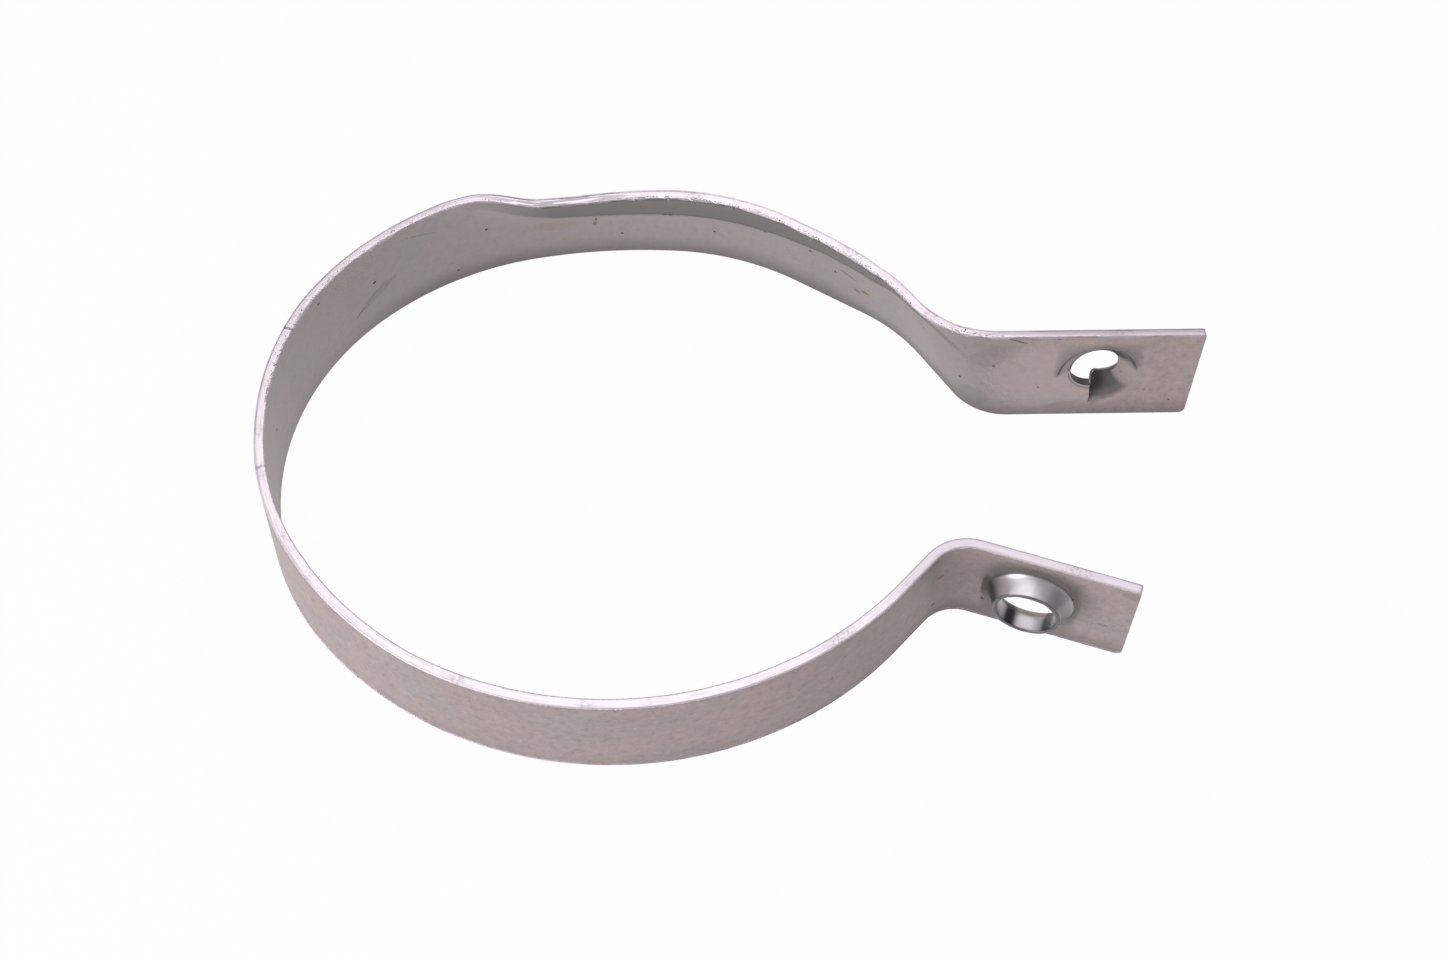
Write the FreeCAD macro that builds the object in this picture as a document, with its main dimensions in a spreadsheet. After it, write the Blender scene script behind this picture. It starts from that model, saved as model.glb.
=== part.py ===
import FreeCAD
import Part
import Sketcher
import math
import os

os.makedirs("parts", exist_ok=True)
doc = FreeCAD.newDocument("exhaust_clamp")
Vector = FreeCAD.Vector

# Driving sizes, in millimetres and degrees. The strap is followed along its inner face,
# from the end of the lower ear, round the front, the left and the back, to the upper ear.
SIZES = [
    ("strap_width", 19.05),
    ("sheet_thickness", 1.6),
    ("lower_end_across", 82.0),
    ("lower_end_forward", 29.1),
    ("lower_ear_slant", 17.1),
    ("lower_ear_length", 24.1),
    ("lower_root_radius", 6.3),
    ("lower_root_turn", 66.4),
    ("front_straight", 6.9),
    ("front_radius", 57.9),
    ("front_turn", 97.7),
    ("left_radius", 45.5),
    ("left_turn", 85.7),
    ("back_left_radius", 52.5),
    ("back_left_turn", 32.6),
    ("back_middle_radius", 93.0),
    ("back_middle_turn", 15.3),
    ("back_right_radius", 45.0),
    ("back_right_turn", 28.5),
    ("shoulder_straight", 13.5),
    ("knee_radius", 30.0),
    ("knee_turn", 25.0),
    ("upper_root_straight", 9.6),
    ("upper_root_radius", 10.0),
    ("upper_root_turn", 57.9),
    ("upper_ear_length", 30.0),
    ("upper_ear_back_lean", 5.7),
    ("fold_height", 9.5),
    ("fold_angle", 23.5),
    ("fold_first_extra", 5.0),
    ("fold_settle_start", 32.0),
    ("fold_settle_run", 26.0),
    ("fold_start", 20.0),
    ("fold_run_in", 23.0),
    ("fold_open_run", 10.4),
    ("fold_leave", 84.0),
    ("fold_run_out", 18.0),
    ("lean_start", 81.0),
    ("lean_run", 14.0),
    ("fold_softness", 1.6),
    ("shoulder_lean", 15.0),
    ("corner_radius", 1.2),
    ("collar_from_end", 15.1),
    ("collar_bore_radius", 4.6),
    ("collar_wall", 0.75),
    ("collar_height", 3.3),
    ("collar_root_radius", 1.8),
    ("collar_lead_in_radius", 3.0),
    ("thread_from_end", 16.2),
    ("thread_outer_radius", 6.6),
    ("thread_hole_radius", 3.7),
    ("thread_hole_back", 0.85),
    ("thread_hole_up", 1.3),
    ("thread_depth", 3.6),
    ("thread_slit", 0.4),
]
sheet = doc.addObject("Spreadsheet::Sheet", "Sizes")
for row, (name, value) in enumerate(SIZES, start=1):
    sheet.set("A%d" % row, name.replace("_", " "))
    sheet.set("B%d" % row, str(value))
    sheet.setAlias("B%d" % row, name)
doc.recompute()
size = {name: float(sheet.get(name)) for name, value in SIZES}
width = size["strap_width"]
thick = size["sheet_thickness"]


def along(degrees):
    """Unit vector in the floor plane at a heading."""
    angle = math.radians(degrees)
    return Vector(math.cos(angle), math.sin(angle), 0)


def left_of(direction):
    """Floor-plane vector a quarter turn left of the travel; the outside of the ring."""
    return Vector(-direction.y, direction.x, 0)


# The bend list: a straight is (length size, None, 0), a bend is (radius size, turn size, side),
# side +1 for the two ear roots, which turn away from the ring, -1 for the ring itself.
BENDS = [
    ("lower_ear_length", None, 0),
    ("lower_root_radius", "lower_root_turn", 1),
    ("front_straight", None, 0),
    ("front_radius", "front_turn", -1),
    ("left_radius", "left_turn", -1),
    ("back_left_radius", "back_left_turn", -1),
    ("back_middle_radius", "back_middle_turn", -1),
    ("back_right_radius", "back_right_turn", -1),
    ("shoulder_straight", None, 0),
    ("knee_radius", "knee_turn", -1),
    ("upper_root_straight", None, 0),
    ("upper_root_radius", "upper_root_turn", 1),
]
PLAIN_BENDS = 5


def line_radius(radius_name, side):
    """Radius of the inner-face line; the roots are given by their own inside radius."""
    return size[radius_name] + (thick if side > 0 and radius_name.startswith("lower") else 0)


class Step:
    """One straight or bend of the inner-face line, with its start, heading and length."""

    def __init__(self, start, heading, first_name, turn_name, side):
        self.start = start
        self.heading = heading
        self.first_name = first_name
        self.turn_name = turn_name
        self.side = side
        if turn_name is None:
            self.length = size[first_name]
        else:
            self.radius = line_radius(first_name, side)
            self.turn = side * size[turn_name]
            self.centre = start + left_of(along(heading)) * (side * self.radius)
            self.length = self.radius * math.radians(size[turn_name])

    def at(self, distance):
        """Point and heading at a distance into the step."""
        if self.turn_name is None:
            return self.start + along(self.heading) * distance, self.heading
        heading = self.heading + self.turn * distance / self.length
        point = self.centre - left_of(along(heading)) * (self.side * self.radius)
        return point, heading


steps = []
point = Vector(size["lower_end_across"], -size["lower_end_forward"], 0)
heading = 180 - size["lower_ear_slant"]
lower_end = point
lower_heading = heading
for first_name, turn_name, side in BENDS:
    steps.append(Step(point, heading, first_name, turn_name, side))
    point, heading = steps[-1].at(steps[-1].length)
upper_root = point
upper_heading = heading

ring_body = doc.addObject("PartDesign::Body", "RingAndLowerEar")
ear_body = doc.addObject("PartDesign::Body", "UpperEar")


def new_sketch(body, name, place):
    """Sketch on a body's floor plane, moved to a placement."""
    floor_plane = [f for f in body.Origin.OriginFeatures if f.Role == "XY_Plane"][0]
    sketch = body.newObject("Sketcher::SketchObject", name)
    sketch.AttachmentSupport = (floor_plane, "")
    sketch.MapMode = "FlatFace"
    sketch.AttachmentOffset = place
    return sketch


def placed(origin, x_axis, y_axis):
    """Placement with the sketch's x and y along two given directions."""
    turn = FreeCAD.Rotation(x_axis, y_axis, x_axis.cross(y_axis), "XYZ")
    return FreeCAD.Placement(origin, turn)


def bind(sketch, constraint, expression):
    """Add a constraint and drive its value from the sheet."""
    index = sketch.addConstraint(constraint)
    sketch.setExpression("Constraints[%d]" % index, expression)
    return index


def closed_outline(sketch, corners):
    """Closed run of straight lines; returns the index of each line."""
    lines = []
    for here, after in zip(corners, corners[1:] + corners[:1]):
        segment = Part.LineSegment(Vector(*here, 0), Vector(*after, 0))
        lines.append(sketch.addGeometry(segment, False))
    for before, after in zip(lines[-1:] + lines[:-1], lines):
        sketch.addConstraint(Sketcher.Constraint("Coincident", before, 2, after, 1))
    return lines


# Path of the plain part: lower ear, its root bend, the front and the left of the ring.
path = new_sketch(ring_body, "PlainPath", FreeCAD.Placement())
previous = None
for index, step in enumerate(steps[:PLAIN_BENDS]):
    finish, end_heading = step.at(step.length)
    if step.turn_name is None:
        edge = path.addGeometry(Part.LineSegment(step.start, finish), False)
        bind(path, Sketcher.Constraint("Distance", edge, step.length), "Sizes." + step.first_name)
        first_end, last_end = 1, 2
    else:
        circle = Part.Circle(step.centre, Vector(0, 0, 1), step.radius)
        begin = math.radians(step.heading - 90 * step.side)
        close = math.radians(end_heading - 90 * step.side)
        first_end, last_end = (1, 2) if step.side > 0 else (2, 1)
        low, high = (begin, close) if step.side > 0 else (close, begin)
        edge = path.addGeometry(Part.ArcOfCircle(circle, low, high), False)
        rule = "Sizes." + step.first_name
        if step.first_name == "lower_root_radius":
            rule += " + Sizes.sheet_thickness"
        bind(path, Sketcher.Constraint("Radius", edge, step.radius), rule)
        aperture = Sketcher.Constraint("Angle", edge, math.radians(abs(step.turn)))
        bind(path, aperture, "Sizes.%s * 1 deg" % step.turn_name)
    if previous is not None:
        path.addConstraint(Sketcher.Constraint("Tangent", previous[0], previous[1], edge, first_end))
    previous = (edge, last_end)
bind(path, Sketcher.Constraint("DistanceX", -1, 1, 0, 1, lower_end.x), "Sizes.lower_end_across")
bind(path, Sketcher.Constraint("DistanceY", 0, 1, -1, 1, -lower_end.y), "Sizes.lower_end_forward")
bind(path, Sketcher.Constraint("Angle", 0, math.radians(lower_heading)),
     "(180 - Sizes.lower_ear_slant) * 1 deg")

# Flat cross section of the strap, across the start of the path.
outward = left_of(along(lower_heading))
section = new_sketch(ring_body, "PlainSection", placed(lower_end, outward, Vector(0, 0, 1)))
lines = closed_outline(section, [(0, 0), (thick, 0), (thick, width), (0, width)])
section.addConstraint(Sketcher.Constraint("Coincident", lines[0], 1, -1, 1))
section.addConstraint(Sketcher.Constraint("Horizontal", lines[0]))
section.addConstraint(Sketcher.Constraint("Vertical", lines[1]))
section.addConstraint(Sketcher.Constraint("Horizontal", lines[2]))
section.addConstraint(Sketcher.Constraint("Vertical", lines[3]))
bind(section, Sketcher.Constraint("Distance", lines[0], thick), "Sizes.sheet_thickness")
bind(section, Sketcher.Constraint("Distance", lines[1], width), "Sizes.strap_width")
doc.recompute()
plain = ring_body.newObject("PartDesign::AdditivePipe", "PlainStrap")
plain.Profile = section
plain.Spine = (path, ["Edge%d" % (i + 1) for i in range(PLAIN_BENDS)])
plain.Mode = "Binormal"
plain.Binormal = Vector(0, 0, 1)
plain.Transition = "Transformed"
doc.recompute()


def ramp(value, start, run):
    """Smooth step from 0 to 1 over a run."""
    share = min(1.0, max(0.0, (value - start) / run))
    return share * share * (3 - 2 * share)


# How far up from the fold height to the top edge the fold line may climb where it fades out,
# and how much of the lip its soft bend may take there.
HIGHEST_FOLD = 0.6


def fold_at(distance):
    """Height of the fold line, fold angle and lean of the wall at a distance along the back.

    The fold leaves the top edge at the fold start, sinks to the fold height, holds it, and
    climbs back to the top edge while the whole wall takes over the lean.
    """
    rise = width - size["fold_height"]
    entered = min(1.0, max(0.0, (distance - size["fold_start"]) / size["fold_run_in"]))
    left = min(1.0, max(0.0, (distance - size["fold_leave"]) / size["fold_run_out"]))
    height = size["fold_height"] + rise * min(HIGHEST_FOLD, (1 - entered) ** 3 + left ** 2)
    settled = ramp(distance, size["fold_settle_start"], size["fold_settle_run"])
    opened = ramp(distance, size["fold_start"], size["fold_open_run"])
    leaning = ramp(distance, size["lean_start"], size["lean_run"])
    angle = (size["fold_angle"] + size["fold_first_extra"] * (1 - settled)) * opened * (1 - leaning)
    lean = size["shoulder_lean"] * leaning
    return height, angle, lean


def strap_section(origin, travel, up, reach, height, angle):
    """Ten points of the sheet's cross section: wall, soft fold, lip, inside then outside."""
    normal = up.cross(travel)
    normal.normalize()
    turned = math.radians(angle)
    lip = up * math.cos(turned) - normal * math.sin(turned)
    lip_normal = normal * math.cos(turned) + up * math.sin(turned)
    soft = min(size["fold_softness"], HIGHEST_FOLD * (reach - height))
    inner = origin + up * height
    outer = inner + normal * thick + up * (thick * math.tan(turned / 2))
    tip = inner + lip * (reach - height)
    return [
        origin,
        inner - up * soft,
        inner,
        inner + lip * soft,
        tip,
        tip + lip_normal * thick,
        inner + lip * soft + lip_normal * thick,
        outer,
        inner - up * soft + normal * thick,
        origin + normal * thick,
    ]


# Stations along the back of the ring, up to the knee's end.
FURTHEST_APART = 4
stations = []
distance = 0
for step in steps[PLAIN_BENDS:-2]:
    count = math.ceil(step.length / FURTHEST_APART)
    for number in range(count):
        stations.append((step, step.length * number / count, distance + step.length * number / count))
    distance += step.length
profiles = []
for step, local, travelled in stations:
    origin, heading = step.at(local)
    height, angle, lean = fold_at(travelled)
    travel = along(heading)
    tilt = math.radians(lean)
    up = Vector(0, 0, math.cos(tilt)) - left_of(travel) * math.sin(tilt)
    profiles.append((travelled, strap_section(origin, travel, up, width, height, angle)))

# The upper root: the bottom edge follows the bend list, the top edge bends earlier and softer,
# from the leaning wall to the top edge of the ear, which leans back.
root_straight, root_bend = steps[-2:]
knee_end, knee_heading = root_straight.at(0)
height, angle, lean = fold_at(distance)
tilt = math.radians(lean)
wall_up = Vector(0, 0, math.cos(tilt)) - left_of(along(knee_heading)) * math.sin(tilt)
ear_along = along(upper_heading)
tilt = math.radians(size["upper_ear_back_lean"])
ear_up = Vector(0, 0, math.cos(tilt)) + left_of(ear_along) * math.sin(tilt)
top_start = knee_end + wall_up * width
foot_rise = Vector(0, 0, thick * math.sin(tilt))
upper_root = upper_root + foot_rise
top_line = upper_root + ear_up * width
gap = top_line - top_start
wall_along = along(knee_heading)
turning = wall_along.x * ear_along.y - wall_along.y * ear_along.x
top_run = (gap.x * ear_along.y - gap.y * ear_along.x) / turning
top_corner = Vector(top_start.x, top_start.y, 0) + wall_along * top_run
top_finish = top_corner + ear_along * top_run
top_finish.z = top_line.z
root_shift = (top_line - top_finish).dot(ear_along)
ROOT_PARTS = 6
for part in range(ROOT_PARTS + 1):
    share = part / ROOT_PARTS
    travelled = share * (root_straight.length + root_bend.length)
    if travelled <= root_straight.length:
        origin, heading = root_straight.at(travelled)
    else:
        origin, heading = root_bend.at(travelled - root_straight.length)
    origin = origin + foot_rise * ramp(share, 0, 1)
    top = top_start * (1 - share) ** 2 + top_corner * (2 * share * (1 - share)) + top_finish * share ** 2
    top.z = top_start.z * (1 - share) + top_finish.z * share
    up = top - origin
    reach = up.Length
    up.normalize()
    section_points = strap_section(origin, along(heading), up, reach, height, 0)
    profiles.append((distance + travelled, section_points))

# The folded back: ten smooth lines run through the stations. Straight walls span two of
# them, and each soft fold is a quadratic strip over three, so neighbours share their edges.
spacing = [travelled for travelled, points in profiles]
RUNS = 10
runs = []
for number in range(RUNS):
    run = Part.BSplineCurve()
    run.interpolate(Points=[points[number] for travelled, points in profiles], Parameters=spacing)
    runs.append(run)


def wall_between(first, second):
    """Ruled wall between two long lines."""
    return Part.makeRuledSurface(first.toShape(), second.toShape())


def soft_fold(low, corner, high):
    """Strip that turns smoothly from one wall to the next."""
    poles = [line.getPoles() for line in (low, corner, high)]
    strip = Part.BSplineSurface()
    strip.buildFromPolesMultsKnots(poles, [3, 3], low.getMultiplicities(), [0, 1], low.getKnots(),
                                   False, False, 2, 3)
    return strip.toShape()


def end_of_back(points):
    """Flat end of the folded back."""
    outline = points[:2] + points[3:7] + points[8:]
    return Part.Face(Part.makePolygon(outline + outline[:1]))


# The skin is laid in short lengths, so that no face carries too many spans.
skin = [end_of_back(profiles[0][1]), end_of_back(profiles[-1][1])]
SPANS = 7
for low in range(0, len(profiles) - 1, SPANS):
    high = min(low + SPANS, len(profiles) - 1)
    lines = []
    for run in runs:
        line = run.copy()
        line.segment(spacing[low], spacing[high])
        lines.append(line)
    for first, second in ((0, 1), (3, 4), (4, 5), (5, 6), (8, 9), (9, 0)):
        skin.append(wall_between(lines[first], lines[second]))
    skin.append(soft_fold(*lines[1:4]))
    skin.append(soft_fold(*lines[8:5:-1]))


# Widest gap that is closed between faces that share an edge.
SEAM = 0.001


def closed_solid(faces):
    """Sound solid from faces that share their edges."""
    shell = Part.makeShell(faces)
    shell.sewShape()
    solid = Part.makeSolid(shell.Shells[0])
    if solid.Volume < 0:
        solid.reverse()
    solid.fix(SEAM, SEAM, SEAM)
    return solid


back = doc.addObject("Part::Feature", "FoldedBack")
back.Shape = closed_solid(skin)

# Upper ear: flat, its root edge slanted to meet the last section of the root bend.
ear_length = size["upper_ear_length"]
ear_place = placed(upper_root, ear_along, ear_up)
ear_outline = new_sketch(ear_body, "UpperEarOutline", ear_place)
lines = closed_outline(ear_outline, [(0, 0), (ear_length, 0), (ear_length, width), (-root_shift, width)])
ear_outline.addConstraint(Sketcher.Constraint("Coincident", lines[0], 1, -1, 1))
ear_outline.addConstraint(Sketcher.Constraint("Horizontal", lines[0]))
ear_outline.addConstraint(Sketcher.Constraint("Vertical", lines[1]))
ear_outline.addConstraint(Sketcher.Constraint("Horizontal", lines[2]))
bind(ear_outline, Sketcher.Constraint("Distance", lines[0], ear_length), "Sizes.upper_ear_length")
bind(ear_outline, Sketcher.Constraint("Distance", lines[1], width), "Sizes.strap_width")
ear_outline.addConstraint(Sketcher.Constraint("Distance", lines[2], ear_length + root_shift))
ear = ear_body.newObject("PartDesign::Pad", "EarPlate")
ear.Profile = ear_outline
ear.Reversed = True
ear.setExpression("Length", "Sizes.sheet_thickness")
doc.recompute()


# How close an edge has to lie to the place where it is looked for.
NEAR = 0.05


def edges_near(shape, points):
    """Names of the edges whose middle lies at one of the given points."""
    found = []
    for number, edge in enumerate(shape.Edges, start=1):
        middle = edge.CenterOfMass
        if any((middle - point).Length < NEAR for point in points):
            found.append("Edge%d" % number)
    return found


# Rounded corners of both ears.
upper_end = upper_root + ear_along * ear_length
ear_back = ear_along.cross(ear_up) * -1
half_sheet = thick / 2
lower_corners = [lower_end + outward * half_sheet + Vector(0, 0, level) for level in (0, width)]
upper_corners = [upper_end + ear_back * half_sheet + ear_up * level for level in (0, width)]
lower_rounding = ring_body.newObject("PartDesign::Fillet", "LowerEarCorners")
lower_rounding.Base = (plain, edges_near(plain.Shape, lower_corners))
lower_rounding.setExpression("Radius", "Sizes.corner_radius")
upper_rounding = ear_body.newObject("PartDesign::Fillet", "UpperEarCorners")
upper_rounding.Base = (ear, edges_near(ear.Shape, upper_corners))
upper_rounding.setExpression("Radius", "Sizes.corner_radius")
doc.recompute()

# Collar of the lower ear: a short tube drawn out of the sheet, on the outer face.
lower_along = along(lower_heading)
outer_end = lower_end + outward * thick
collar_place = placed(outer_end, Vector(0, 0, 1), lower_along)
middle = Vector(width / 2, size["collar_from_end"], 0)


def collar_circle(name, place, rule):
    """Circle on the lower ear, centred on the collar."""
    sketch = new_sketch(ring_body, name, place)
    radius = size["collar_bore_radius"]
    circle = sketch.addGeometry(Part.Circle(middle, Vector(0, 0, 1), radius), False)
    bind(sketch, Sketcher.Constraint("Radius", circle, radius), rule)
    bind(sketch, Sketcher.Constraint("DistanceX", -1, 1, circle, 3, middle.x), "Sizes.strap_width / 2")
    bind(sketch, Sketcher.Constraint("DistanceY", -1, 1, circle, 3, middle.y), "Sizes.collar_from_end")
    return sketch


tube_circle = collar_circle("CollarTubeCircle", collar_place, "Sizes.collar_bore_radius + Sizes.collar_wall")
tube = ring_body.newObject("PartDesign::Pad", "CollarTube")
tube.Profile = tube_circle
tube.setExpression("Length", "Sizes.collar_height")
doc.recompute()
bore_circle = collar_circle("CollarBoreCircle", collar_place, "Sizes.collar_bore_radius")
bore = ring_body.newObject("PartDesign::Pocket", "CollarBore")
bore.Profile = bore_circle
bore.Type = "ThroughAll"
bore.Midplane = True
doc.recompute()


def circles_near(shape, centre, radius):
    """Names of the circular edges with a given centre and radius."""
    found = []
    for number, edge in enumerate(shape.Edges, start=1):
        if not isinstance(edge.Curve, Part.Circle):
            continue
        if (edge.Curve.Center - centre).Length < NEAR and abs(edge.Curve.Radius - radius) < NEAR:
            found.append("Edge%d" % number)
    return found


# Drawn roots of the collar: a small radius outside, a wide lead-in at the back of the ear.
centre = outer_end + Vector(0, 0, width / 2) + lower_along * size["collar_from_end"]
tube_radius = size["collar_bore_radius"] + size["collar_wall"]
root = ring_body.newObject("PartDesign::Fillet", "CollarRoot")
root.Base = (bore, circles_near(bore.Shape, centre, tube_radius))
root.setExpression("Radius", "Sizes.collar_root_radius")
doc.recompute()
lead_in = ring_body.newObject("PartDesign::Fillet", "CollarLeadIn")
back_centre = centre - outward * thick
lead_in.Base = (root, circles_near(root.Shape, back_centre, size["collar_bore_radius"]))
lead_in.setExpression("Radius", "Sizes.collar_lead_in_radius")
doc.recompute()

# Thread impression of the upper ear. Three quarters of a disc is cut out round the pierced
# hole and replaced by a flank that sinks clockwise like one turn of a screw thread, so its
# rim ends far below the flush quarter, across a slit.
outer_radius = size["thread_outer_radius"]
hole_radius = size["thread_hole_radius"]
slit = size["thread_slit"]
disc = Vector(ear_length - size["thread_from_end"], width / 2, 0)
hole = disc + Vector(-size["thread_hole_back"], size["thread_hole_up"], 0)
START = 180
FINISH = -90


def on_circle(centre, radius, degrees):
    """Point of a circle in the ear's own plane."""
    return centre + along(degrees) * radius


slit_outer = FINISH - math.degrees(math.asin(slit / outer_radius))
slit_hole = FINISH - math.degrees(math.asin(slit / hole_radius))
cut = new_sketch(ear_body, "ThreadCut", ear_place)
outer_arc = Part.ArcOfCircle(Part.Circle(disc, Vector(0, 0, 1), outer_radius),
                             math.radians(slit_outer), math.radians(START))
hole_arc = Part.ArcOfCircle(Part.Circle(hole, Vector(0, 0, 1), hole_radius),
                            math.radians(START), math.radians(slit_hole + 360))
outer_edge = cut.addGeometry(outer_arc, False)
hole_edge = cut.addGeometry(hole_arc, False)
start_line = Part.LineSegment(on_circle(disc, outer_radius, START), on_circle(hole, hole_radius, START))
slit_line = Part.LineSegment(on_circle(hole, hole_radius, slit_hole),
                             on_circle(disc, outer_radius, slit_outer))
start_edge = cut.addGeometry(start_line, False)
slit_edge = cut.addGeometry(slit_line, False)
cut.addConstraint(Sketcher.Constraint("Coincident", outer_edge, 2, start_edge, 1))
cut.addConstraint(Sketcher.Constraint("Coincident", start_edge, 2, hole_edge, 1))
cut.addConstraint(Sketcher.Constraint("Coincident", hole_edge, 2, slit_edge, 1))
cut.addConstraint(Sketcher.Constraint("Coincident", slit_edge, 2, outer_edge, 1))
bind(cut, Sketcher.Constraint("Radius", outer_edge, outer_radius), "Sizes.thread_outer_radius")
bind(cut, Sketcher.Constraint("Radius", hole_edge, hole_radius), "Sizes.thread_hole_radius")
bind(cut, Sketcher.Constraint("DistanceX", -1, 1, outer_edge, 3, disc.x),
     "Sizes.upper_ear_length - Sizes.thread_from_end")
bind(cut, Sketcher.Constraint("DistanceY", -1, 1, outer_edge, 3, disc.y), "Sizes.strap_width / 2")
bind(cut, Sketcher.Constraint("DistanceX", hole_edge, 3, outer_edge, 3, disc.x - hole.x),
     "Sizes.thread_hole_back")
bind(cut, Sketcher.Constraint("DistanceY", outer_edge, 3, hole_edge, 3, hole.y - disc.y),
     "Sizes.thread_hole_up")
opening = ear_body.newObject("PartDesign::Pocket", "ThreadOpening")
opening.Profile = cut
opening.Type = "Length"
opening.setExpression("Length", "Sizes.sheet_thickness * 4")
opening.Midplane = True
doc.recompute()


RIM_PARTS = 18


def helix_edge(level):
    """Rim of the flank round the hole, sinking from the face by the thread's depth."""
    points = []
    for number in range(RIM_PARTS + 1):
        share = number / RIM_PARTS
        point = on_circle(hole, hole_radius, START + (FINISH - START) * share)
        points.append(point - Vector(0, 0, level + size["thread_depth"] * share))
    curve = Part.BSplineCurve()
    curve.interpolate(points)
    return curve.toShape()


def circle_edge(level):
    """Outer edge of the flank, on the face of the ear or on its back."""
    centre = disc - Vector(0, 0, level)
    circle = Part.Circle(centre, Vector(0, 0, -1), outer_radius)
    first = circle.parameter(on_circle(centre, outer_radius, START))
    return Part.Edge(circle, first, first + math.radians(START - FINISH))


front_outer = circle_edge(0)
back_outer = circle_edge(thick)
front_rim = helix_edge(0)
back_rim = helix_edge(thick)


def end_face(number):
    """Flat end of the flank between its two edges at one end."""
    corners = [edge.Vertexes[number].Point for edge in (front_outer, front_rim, back_rim, back_outer)]
    return Part.Face(Part.makePolygon(corners + corners[:1]))


skin = [
    Part.makeRuledSurface(front_outer, front_rim),
    Part.makeRuledSurface(back_outer, back_rim),
    Part.makeRuledSurface(front_rim, back_rim),
    front_outer.extrude(Vector(0, 0, -thick)),
    end_face(0),
    end_face(-1),
]
flank = doc.addObject("Part::Feature", "ThreadFlank")
flank.Shape = closed_solid(skin)
flank.Placement = ear_place
strap = doc.addObject("Part::MultiFuse", "ClampStrap")
strap.Label = "clamp_strap"
strap.Shapes = [ring_body, back, ear_body, flank]
strap.Refine = True
doc.recompute()
for item in doc.Objects:
    if any(word in item.State for word in ("Invalid", "Error")):
        raise RuntimeError("%s did not build: %s" % (item.Name, item.State))
if strap.Shape.isNull() or not strap.Shape.isValid() or len(strap.Shape.Solids) != 1:
    raise RuntimeError("the strap is not one sound solid")
strap.Shape.exportStep("parts/%s.step" % strap.Label)
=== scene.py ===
import bpy
import math
import numpy as np
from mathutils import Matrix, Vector


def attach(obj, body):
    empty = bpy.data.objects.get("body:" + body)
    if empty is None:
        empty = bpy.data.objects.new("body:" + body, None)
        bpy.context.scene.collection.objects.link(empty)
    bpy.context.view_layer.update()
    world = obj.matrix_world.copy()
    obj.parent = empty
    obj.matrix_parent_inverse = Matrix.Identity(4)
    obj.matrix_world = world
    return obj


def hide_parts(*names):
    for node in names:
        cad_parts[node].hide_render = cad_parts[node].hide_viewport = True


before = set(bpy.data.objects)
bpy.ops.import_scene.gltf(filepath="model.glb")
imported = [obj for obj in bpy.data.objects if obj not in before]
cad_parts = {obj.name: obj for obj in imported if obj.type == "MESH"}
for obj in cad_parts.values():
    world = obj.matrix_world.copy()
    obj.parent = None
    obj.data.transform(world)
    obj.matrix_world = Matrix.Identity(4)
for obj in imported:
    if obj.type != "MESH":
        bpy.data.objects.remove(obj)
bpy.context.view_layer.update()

# The strap: one length of zinc-plated sheet steel, sheared to width, folded along its back
# and bent round to two ears. Its near ear is drawn into a collar for a screw, and its far
# ear is pierced and pressed into one turn of thread. Sizes are in millimetres.
width = 19.05
thick = 1.6


def along(degrees):
    """Unit vector in the floor plane at a heading."""
    angle = math.radians(degrees)
    return np.array([math.cos(angle), math.sin(angle), 0.0])


def left_of(direction):
    """Outward side of the ring, a quarter turn left of the travel."""
    return np.array([-direction[1], direction[0], 0.0])


def smooth(value, start, run):
    """Smooth step from 0 to 1 over a run."""
    share = np.clip((value - start) / run, 0.0, 1.0)
    return share * share * (3 - 2 * share)


def line(value, *points):
    """Height of the line through some points."""
    return float(np.interp(value, [point[0] for point in points], [point[1] for point in points]))


# Each bend is (length or radius, turn); turns to the right follow the ring, turns to the
# left are the two ear roots. The strap starts at the end of the near ear.
BENDS = [(24.1, 0), (7.9, 66.4), (6.9, 0), (57.9, -97.7), (45.5, -85.7), (52.5, -32.6),
         (93.0, -15.3), (45.0, -28.5), (13.5, 0), (30.0, -25.0), (9.6, 0), (10.0, 57.9)]
PLAIN_BENDS = 5
BENDS_TO_ROOT = 10
STRAP_START = (82.0, -29.1)
START_HEADING = 162.9
EAR = 30.0
pieces = []
here = np.array([*STRAP_START, 0.0])
heading = START_HEADING
for first, turn in BENDS:
    length = first if turn == 0 else first * math.radians(abs(turn))
    pieces.append((here, heading, first, turn, length))
    if turn == 0:
        here = here + along(heading) * first
    else:
        side = math.copysign(1, turn)
        centre = here + left_of(along(heading)) * side * first
        heading += turn
        here = centre - left_of(along(heading)) * side * first
ear_root = here
ear_heading = heading
plain_length = sum(piece[4] for piece in pieces[:PLAIN_BENDS])
root_begins = sum(piece[4] for piece in pieces[:BENDS_TO_ROOT])
root_ends = sum(piece[4] for piece in pieces)
total = root_ends + EAR


def inner_line(distance):
    """Point and heading of the inner lower edge at a distance along the strap."""
    for start, begin, first, turn, length in pieces:
        if distance <= length:
            break
        distance -= length
    else:
        return ear_root + along(ear_heading) * distance, ear_heading
    if turn == 0:
        return start + along(begin) * distance, begin
    side = math.copysign(1, turn)
    centre = start + left_of(along(begin)) * side * first
    now = begin + turn * distance / length
    return centre - left_of(along(now)) * side * first, now


# The fold along the back, in millimetres from the end of the plain front: its line sinks from
# the top edge to the fold's height while the fold bends open and settles, then climbs away
# again where the whole wall leans over instead.
FOLD_HEIGHT = 9.5
HIGHEST_FOLD = 0.6
SINK_START, SINK_RUN = 16, 27
CLIMB_START, CLIMB_RUN = 84, 18
FOLD_ANGLE = 23.5
BEND_START, BEND_RUN = 14, 17
FIRST_EXTRA = 5
SETTLE_START, SETTLE_RUN = 32, 26
FULL_LEAN = 15
LEAN_START, LEAN_RUN = 81, 14


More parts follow.
